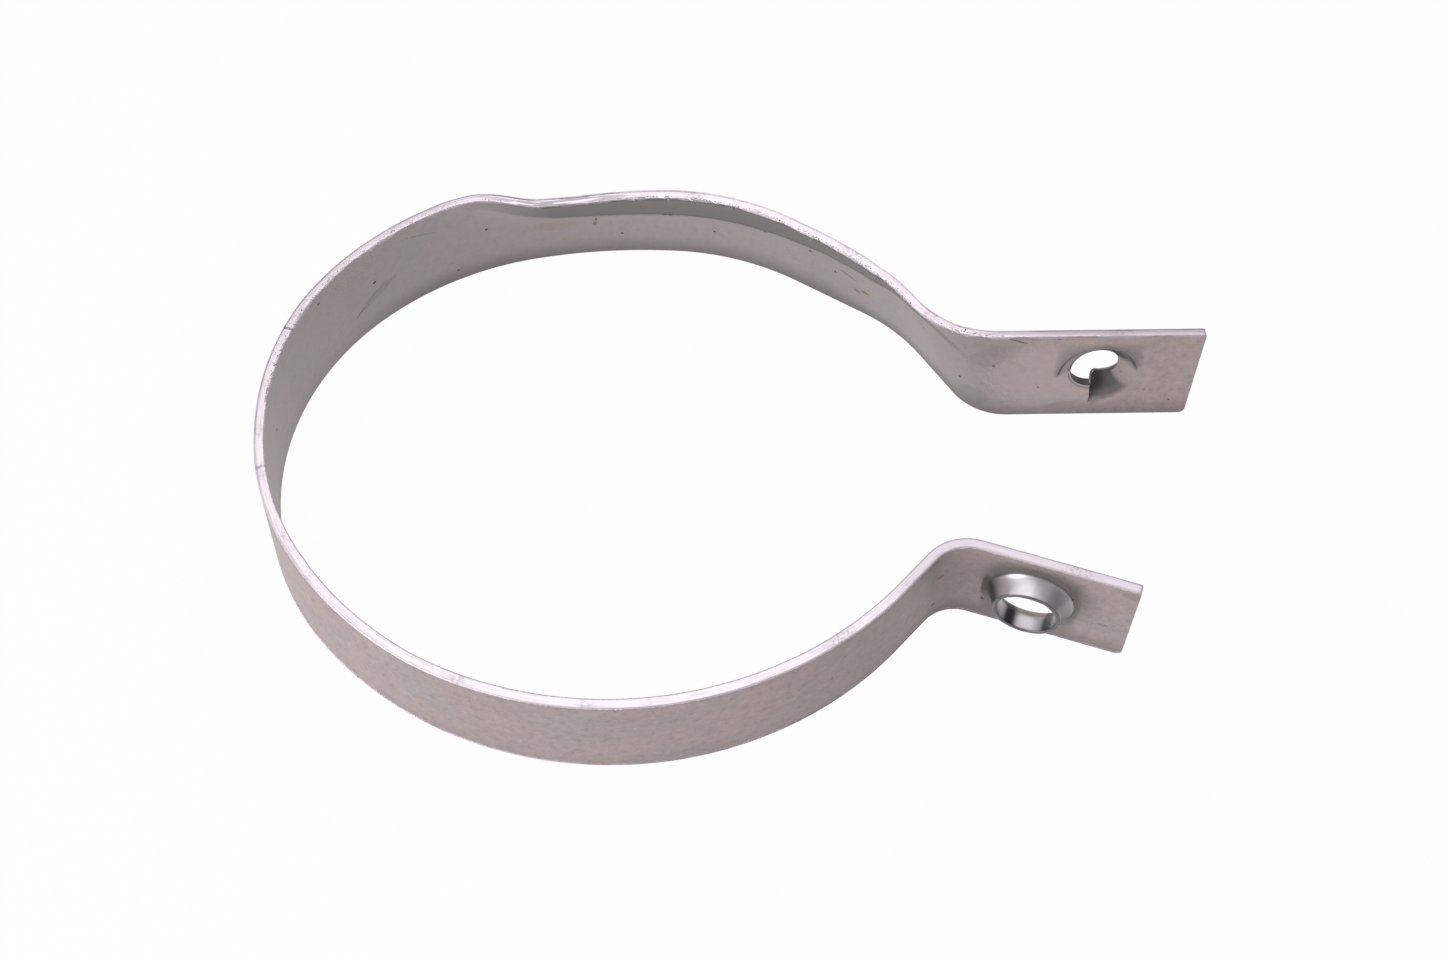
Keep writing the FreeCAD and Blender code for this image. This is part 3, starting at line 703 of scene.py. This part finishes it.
smears = smears | outside * blots([(0.25, 0.6, 17.5, 2.0, 1.0), (0.35, 3.7, 7.4, 0.9, 0.35)])
# Painted shade on the ear round the collar's root.
halo_x = (distance_at - 14.4) * (1 / 9.6)
halo_y = (height_at - 12.2) * (1 / 6.4)
painted_collar_shade = (halo_x * halo_x + halo_y * halo_y).step(1.2, 0.4) * outside
rust = inside * blots([(1.0, 298.4, 8.2, 1.2, 0.5, 20, 1.2), (1.0, 296.4, 6.8, 0.8, 0.42, 0, 1.1),
                       (1.0, 247.5, 7.8, 0.4, 0.4)])
rust = rust | outside * blot(31.1, 11.8, 0.8, 0.55)
pale_stain = blot(338.0, 9.0, 11.0, 9.5, 0, 1.2) * inside
brown_stain = blot(240.5, 8.2, 4.0, 1.3, 0, 1.4) * inside
colour = steel.tint(colour, pale_stain * 0.3, (0.62, 0.53, 0.53))
colour = steel.tint(colour, brown_stain * 0.3, (0.37, 0.29, 0.19))
# Painted shade from the marks: the strap's creases, lip and lower edge, the collar and the impression.
colour = steel.tint(colour, painted_shade_at, (0.052, 0.05, 0.047))
# Smears, and the painted shade round the collar's root, darken the colour.
colour = steel.tint(colour, smears | painted_collar_shade * 0.5, (0.07, 0.072, 0.07))
colour = steel.tint(colour, dots * 0.85, (0.035, 0.03, 0.028))
colour = steel.tint(colour, rust * 0.85, (0.26, 0.13, 0.05))

burnished = steel.tint((0.74, 0.69, 0.72, 1), patches.step(0.4, 0.6) * 0.35, (0.5, 0.47, 0.49))
# The painted shade and painted dark reflections on the collar darken its burnished colour too.
burnished = steel.tint(burnished, painted_shade_at, (0.03, 0.03, 0.034))
shine = drawn_at.step(0.35, 0.8)
colour = steel.mix(colour, shine, burnished)

# Sheared edges: bright and streaked lengthways, duller on the ears, dirty where the fold
# begins, with two notches and a ragged line of burr.
edge = steel.tint((0.93, 0.84, 0.915, 1), streaks.step(0.42, 0.68) * 0.5, (0.6, 0.53, 0.58))
edge = steel.tint(edge, runs.step(0.52, 0.68) * jagged.step(0.42, 0.6) * 0.55, (0.42, 0.37, 0.39))
edge = steel.tint(edge, depth_at.step(1.25, 1.45) * sheared_at.step(0.9, 1.0) * 0.2, (0.33, 0.28, 0.30))
on_ears = distance_at.step(50.0, 30.0) | distance_at.step(330.0, 338.0)
edge = steel.tint(edge, on_ears * 0.4, (0.5, 0.43, 0.48))
on_fold = distance_at.step(222.0, 236.0) * distance_at.step(262.0, 246.0)
edge = steel.tint(edge, on_fold * streaks.step(0.44, 0.5) * 0.65, (0.3, 0.27, 0.29))
edge = steel.tint(edge, (depth_at + jagged * 0.5).step(0.46, 0.36) * 0.6, (0.30, 0.27, 0.28))
notches = blots([(1.0, 187.2, width, 0.3, 9.0, 0, 0.3), (0.6, 160.4, width, 0.2, 9.0, 0, 0.3)])
edge = steel.tint(edge, notches * 0.6, (0.16, 0.14, 0.14))
ragged_height = height_at + jagged * 1.5 * runs.step(0.34, 0.58)
burr_line = ragged_height.step(19.2, 19.4) * inside * height_at.step(18.2, 18.5)
pale = (sheared_at + (jagged - 0.5) * 1.3).step(0.48, 0.62) | burr_line
colour = steel.mix(colour, pale, edge)

rough_skin = (mottle * 0.35 + grain * 0.3) * (1.0 - shine)
relief = rough_skin + jagged * pale * 0.9 - smears * 0.6 - notches * pale
relief = steel.node("ShaderNodeBump", Height=relief, Strength=0.35, Distance=0.00012)
metallic = 0.42 + pale * 0.25 + shine * 0.3
roughness = 0.5 + mottle * 0.08 * (1.0 - shine) - shine * 0.12 - pale * 0.05
skin = steel.node("ShaderNodeBsdfPrincipled", Base_Color=colour, Metallic=metallic,
                  Roughness=roughness, Normal=relief)
steel.node("ShaderNodeOutputMaterial", Surface=skin)
mesh.materials.append(steel.material)
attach(strap, "root")
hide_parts("clamp_strap")

# The burr: torn slivers of steel that the shear left standing along the inner side of the
# cut edge, thickest on the folded back, and still bright. Their sizes are in metres.
fresh = Finish("fresh_burr")
on_sliver = fresh.node("ShaderNodeTexCoord", out=3)
worn = fresh.node("ShaderNodeTexNoise", Vector=on_sliver, Scale=900.0, Detail=2.0)
sliver_colour = fresh.tint((0.84, 0.76, 0.83, 1), worn.step(0.4, 0.65), (0.36, 0.32, 0.34))
sliver_skin = fresh.node("ShaderNodeBsdfPrincipled", Base_Color=sliver_colour, Metallic=0.85, Roughness=0.34)
fresh.node("ShaderNodeOutputMaterial", Surface=sliver_skin)
BURR_RUNS = [(172.0, 232.0), (246.0, 331.0)]
edge_line = []
joins = []
for first, last in BURR_RUNS:
    reached = [rings[i][inner_count + 1] for i, d in enumerate(distances) if first <= d <= last]
    joins += [(len(edge_line) + k, len(edge_line) + k + 1) for k in range(len(reached) - 1)]
    edge_line += [tuple(point / 1000) for point in reached]
burr_row = bpy.data.meshes.new("burr_row")
burr_row.from_pydata(edge_line, joins, [])
burr_maker = bpy.data.objects.new("burr_maker", burr_row)
bpy.context.scene.collection.objects.link(burr_maker)
slivers = bpy.data.node_groups.new("slivers", "GeometryNodeTree")
slivers.interface.new_socket("Edge", in_out="INPUT", socket_type="NodeSocketGeometry")
sizes = {}
for label, kind, value in [("Spacing", "NodeSocketFloat", 0.0005), ("Longest", "NodeSocketFloat", 0.0013),
                           ("Thickest", "NodeSocketFloat", 0.0003), ("Seed", "NodeSocketInt", 11)]:
    sizes[label] = (slivers.interface.new_socket(label, in_out="INPUT", socket_type=kind).identifier, value)
slivers.interface.new_socket("Burr", in_out="OUTPUT", socket_type="NodeSocketGeometry")


def sliver_node(kind, settings=None, out=0, **sockets):
    """One output of a new node in the sliver tree."""
    return add_node(slivers, kind, settings, sockets).outputs[out]


SHORTEST, THINNEST, GIRTH_SEED = 0.0002, 0.00005, 5
TILT, SPIN = 0.16, 1.5
given = add_node(slivers, "NodeGroupInput", None, {}).outputs
path = sliver_node("GeometryNodeMeshToCurve", i0=given["Edge"])
path = sliver_node("GeometryNodeResampleCurve", {"mode": "LENGTH"}, Curve=path, Length=given["Spacing"])
flake = sliver_node("GeometryNodeMeshCone", out="Mesh", Vertices=4, Radius_Top=0.1, Radius_Bottom=0.5,
                    Depth=1.0)
tangent = sliver_node("GeometryNodeInputTangent")
long_way = sliver_node("FunctionNodeAlignRotationToVector", {"axis": "Z"}, Vector=tangent)
tilt = sliver_node("FunctionNodeRandomValue", {"data_type": "FLOAT_VECTOR"},
                   i0=(-TILT, -TILT, -SPIN), i1=(TILT, TILT, SPIN), Seed=given["Seed"])
lie = sliver_node("FunctionNodeRotateRotation", i0=long_way, i1=tilt)
long = sliver_node("FunctionNodeRandomValue", {"data_type": "FLOAT"}, out=1,
                   i2=SHORTEST, i3=given["Longest"], Seed=given["Seed"])
girth = sliver_node("FunctionNodeRandomValue", {"data_type": "FLOAT"}, out=1,
                    i2=THINNEST, i3=given["Thickest"], Seed=GIRTH_SEED)
size = sliver_node("ShaderNodeCombineXYZ", X=girth, Y=girth, Z=long)
laid = sliver_node("GeometryNodeInstanceOnPoints", Points=path, Instance=flake, Rotation=lie, Scale=size)
solid = sliver_node("GeometryNodeRealizeInstances", i0=laid)
finished = sliver_node("GeometryNodeSetMaterial", Geometry=solid, Material=fresh.material)
add_node(slivers, "NodeGroupOutput", None, {"i0": finished})
modifier = burr_maker.modifiers.new("slivers", "NODES")
modifier.node_group = slivers
for identifier, value in sizes.values():
    modifier[identifier] = value
burr_maker.update_tag()
burr_mesh = bpy.data.meshes.new_from_object(burr_maker.evaluated_get(bpy.context.evaluated_depsgraph_get()))
bpy.data.objects.remove(burr_maker)
burr = bpy.data.objects.new("burr", burr_mesh)
bpy.context.scene.collection.objects.link(burr)
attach(burr, "root")

# The table the clamp lies on: a plain white sheet, just clear of the lower edge, that glows
# to the camera and keeps a faint shadow.
REACH, CLEAR = 3, 0.00002
sheet = Finish("white_table")
camera_ray = sheet.node("ShaderNodeLightPath")
seen = camera_ray | camera_ray.other(3) | camera_ray.other(6)
paper = sheet.node("ShaderNodeBsdfDiffuse", Color=(0.8, 0.8, 0.8, 1))
glow = sheet.node("ShaderNodeEmission", Color=(1, 1, 1, 1), Strength=1.0)
blend = sheet.node("ShaderNodeMixShader", i0=seen * 0.975, i1=paper, i2=glow)
sheet.node("ShaderNodeOutputMaterial", Surface=blend)
table = bpy.data.meshes.new("table")
corners = [(-REACH, -REACH, 0), (REACH, -REACH, 0), (REACH, REACH, 0), (-REACH, REACH, 0)]
table.from_pydata(corners, [], [(0, 1, 2, 3)])
table.materials.append(sheet.material)
floor = bpy.data.objects.new("table", table)
floor.location.z = -CLEAR
bpy.context.scene.collection.objects.link(floor)

# Room light: a dim even surround, one wide soft box overhead and a small one low on the left,
# which leaves the faces that turn to the right a shade darker.
world = bpy.data.worlds.new("room")
world.use_nodes = True
surround = world.node_tree.nodes["Background"]
surround.inputs["Color"].default_value = (0.95, 0.95, 0.97, 1)
surround.inputs["Strength"].default_value = 0.27
bpy.context.scene.world = world
for name, place, size_x, size_y, watts in [("overhead", (-0.06, 0.14, 0.66), 1.3, 1.0, 4.9),
                                           ("left_low", (-0.54, -0.44, 0.24), 0.4, 0.3, 2.7)]:
    lamp = bpy.data.lights.new(name, "AREA")
    lamp.shape = "RECTANGLE"
    lamp.size = size_x
    lamp.size_y = size_y
    lamp.energy = watts
    soft_box = bpy.data.objects.new(name, lamp)
    soft_box.location = place
    soft_box.rotation_euler = (-Vector(place)).to_track_quat("-Z", "Y").to_euler()
    bpy.context.scene.collection.objects.link(soft_box)

# Camera: above and in front of the clamp, looking down at 57 degrees.
camera_data = bpy.data.cameras.new("camera")
camera_data.sensor_width = 36.0
camera_data.lens = 48.756
camera_data.clip_start = 0.01
camera = bpy.data.objects.new("camera", camera_data)
elevation = math.radians(57.0)
roll = 0.02127783
forward = Vector((0, math.cos(elevation), -math.sin(elevation)))
level_right = Vector((1, 0, 0))
level_up = level_right.cross(forward)
right = level_right * math.cos(roll) + level_up * math.sin(roll)
up = level_up * math.cos(roll) - level_right * math.sin(roll)
matrix = camera.matrix_world.copy()
for axis, vector in enumerate((right, up, -forward)):
    for row in range(3):
        matrix[row][axis] = vector[row]
matrix.translation = (0.0196, -0.17521, 0.26962)
camera.matrix_world = matrix
bpy.context.scene.collection.objects.link(camera)
bpy.context.scene.camera = camera
bpy.context.scene.view_settings.view_transform = "Standard"
